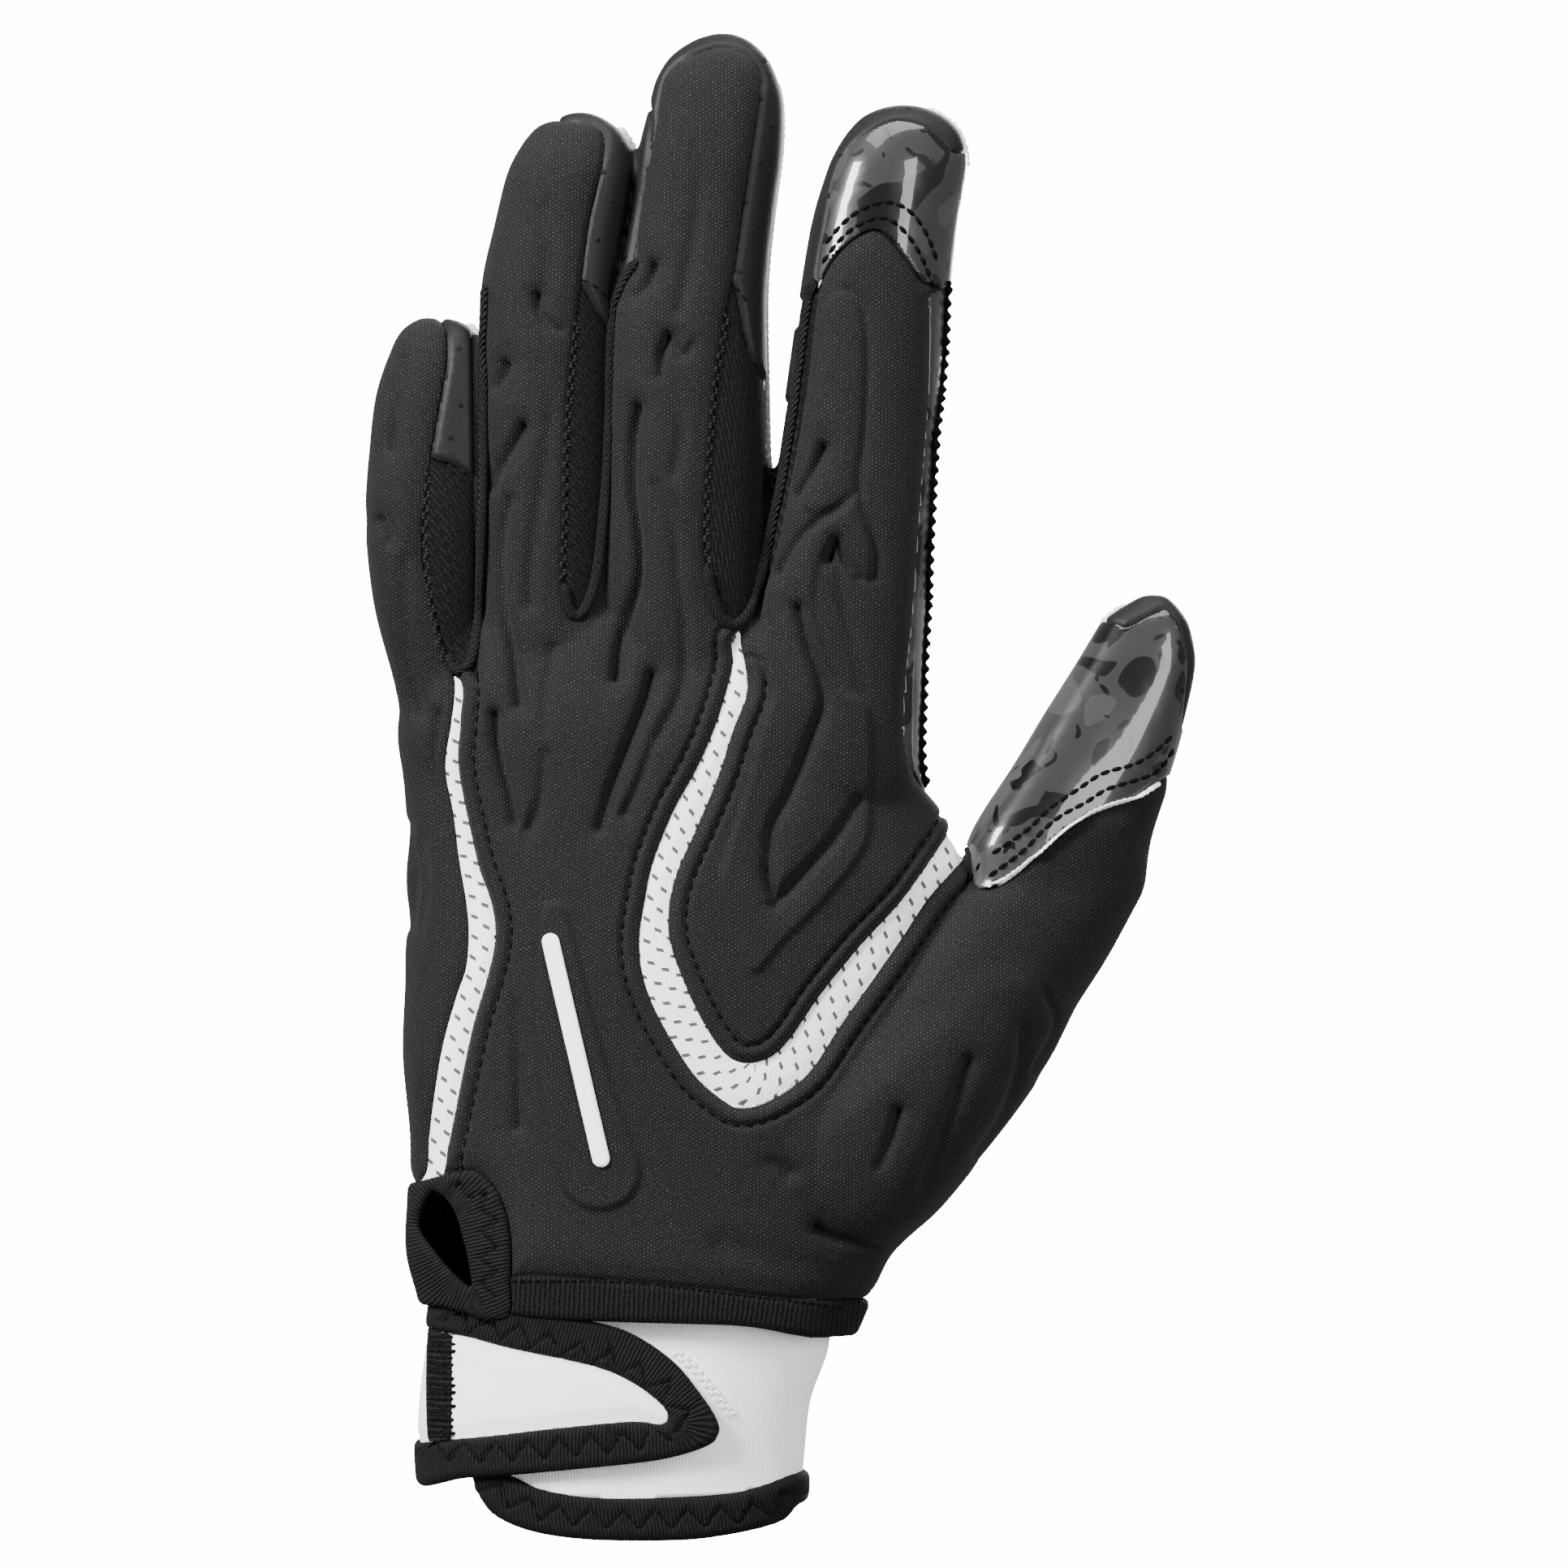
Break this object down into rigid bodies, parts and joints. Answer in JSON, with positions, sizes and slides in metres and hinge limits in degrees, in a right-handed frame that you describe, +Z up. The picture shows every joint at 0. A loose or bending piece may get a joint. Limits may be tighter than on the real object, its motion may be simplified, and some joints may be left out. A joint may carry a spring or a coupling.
{
  "type": "football receiver glove",
  "caption": "Left football receiver glove as worn: padded black knit back with white mesh inserts, glossy blotched grip palm, perforated finger sides, white cuff and wrist strap.",
  "frame": {"origin": "middle of the cuff's lower opening, where a forearm enters", "axes": "+Z up to the fingertips, +X towards the thumb, +Y from the back of the hand to the palm"},
  "size_m": [0.1342, 0.0469, 0.2441],
  "materials": {
    "black_knit": "matte padded knit",
    "white_mesh": "perforated mesh",
    "white_emblem": "matte",
    "glossy_grip": "glossy, blotched black and grey",
    "black_fourchette": "smooth, perforated",
    "black_gusset": "open knit",
    "black_binding": "ribbed",
    "white_cuff": "fine vertical ribs",
    "white_strap": "fine knit"
  },
  "bodies": {
    "root": {"back_panel": "black_knit", "index_panel": "black_knit", "little_panel": "black_knit", "v_insert": "white_mesh", "side_insert": "white_mesh", "emblem": "white_emblem", "palm_panel": "glossy_grip", "index_cap": "glossy_grip", "thumb_cap": "glossy_grip", "little_fourchette": "black_fourchette", "ring_fourchette": "black_fourchette", "middle_fourchette": "black_fourchette", "index_fourchette": "black_fourchette", "thumb_fourchette": "black_fourchette", "little_ring_gusset": "black_gusset", "ring_middle_gusset": "black_gusset", "middle_index_gusset": "black_gusset", "vent_binding": "black_binding", "back_hem": "black_binding", "cuff_band": "white_cuff", "cuff_binding": "black_binding", "strap_tab": "white_strap", "strap_binding": "black_binding", "strap_stitched_band": "black_binding"}
  },
  "joints": []
}
